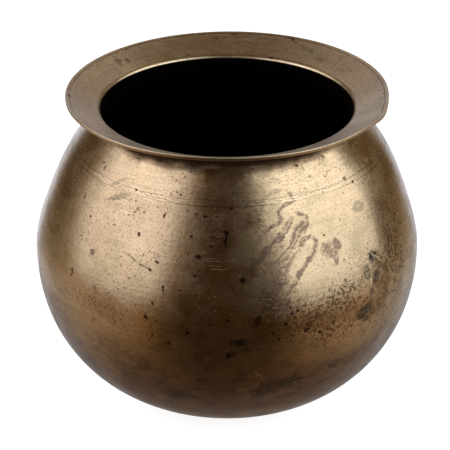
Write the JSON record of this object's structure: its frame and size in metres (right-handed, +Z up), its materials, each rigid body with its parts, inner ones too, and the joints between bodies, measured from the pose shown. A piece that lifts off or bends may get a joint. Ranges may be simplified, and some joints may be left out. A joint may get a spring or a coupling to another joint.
{
  "type": "brass cooking pot",
  "caption": "Round-bellied brass cooking pot with a narrow neck and a wide flared lip, built from turned shells joined by brazed seams.",
  "frame": {"origin": "centre of the flat underside that the pot rests on", "axes": "+Z up along the pot's axis, through the middle of the mouth; X and Y are level"},
  "size_m": [0.25, 0.25, 0.2107],
  "materials": {
    "bowl_brass": "aged, turned and rubbed, with dark patina, stains and pits",
    "shoulder_brass": "aged, turned and rubbed, with soot in the neck",
    "lip_brass": "dull worn brass, brighter along the edges",
    "spelter": "filed brazing metal, dark in its hollows"
  },
  "bodies": {
    "root": {"bowl_body": "bowl_brass", "shoulder": "shoulder_brass", "flared_lip": "lip_brass", "shoulder_braze": "spelter", "neck_braze": "spelter"}
  },
  "joints": []
}
